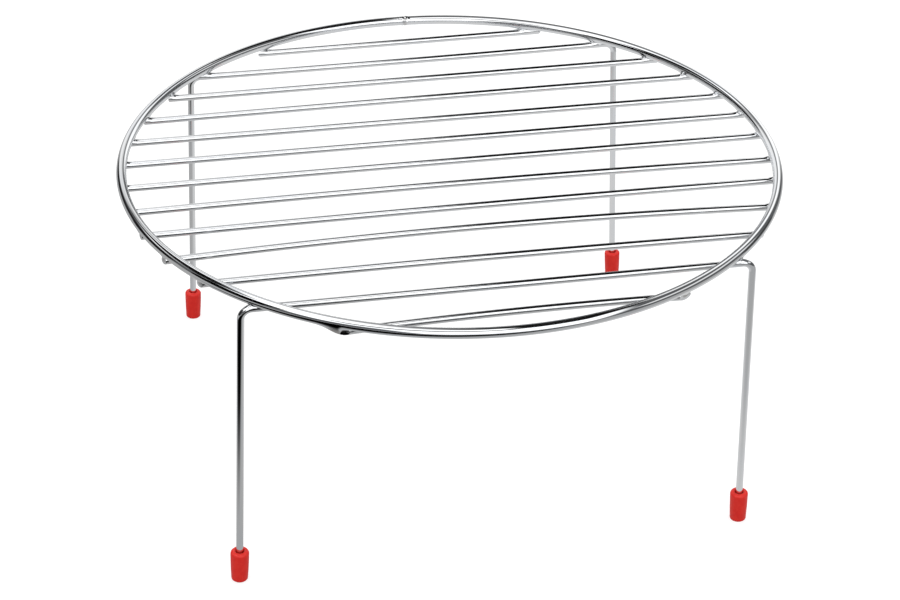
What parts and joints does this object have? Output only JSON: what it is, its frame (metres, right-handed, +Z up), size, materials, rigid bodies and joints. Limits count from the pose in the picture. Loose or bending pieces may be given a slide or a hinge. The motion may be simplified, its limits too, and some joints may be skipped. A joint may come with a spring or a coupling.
{
  "type": "cooling rack",
  "caption": "Round chromed wire cooling rack: parallel bars welded under a rim ring, with bent wire legs and soft red foot caps.",
  "frame": {"origin": "on the standing plane, under the middle of the rim ring", "axes": "+X along the wires to the right, +Y to the back, +Z up out of the rim's plane"},
  "size_m": [0.32, 0.32, 0.1534],
  "materials": {
    "rim_chrome": "bright plated round wire",
    "wire_chrome": "bright plated drawn wire",
    "red_silicone": "satin moulded red silicone"
  },
  "bodies": {
    "root": {"rim_ring": "rim_chrome", "cross_bar_01": "wire_chrome", "cross_bar_02": "wire_chrome", "cross_bar_03": "wire_chrome", "cross_bar_04": "wire_chrome", "cross_bar_05": "wire_chrome", "cross_bar_06": "wire_chrome", "cross_bar_07": "wire_chrome", "cross_bar_08": "wire_chrome", "cross_bar_09": "wire_chrome", "cross_bar_10": "wire_chrome", "cross_bar_11": "wire_chrome", "rear_leg_wire": "wire_chrome", "front_leg_wire": "wire_chrome", "foot_cap_rear_left": "red_silicone", "foot_cap_rear_right": "red_silicone", "foot_cap_front_left": "red_silicone", "foot_cap_front_right": "red_silicone"}
  },
  "joints": []
}
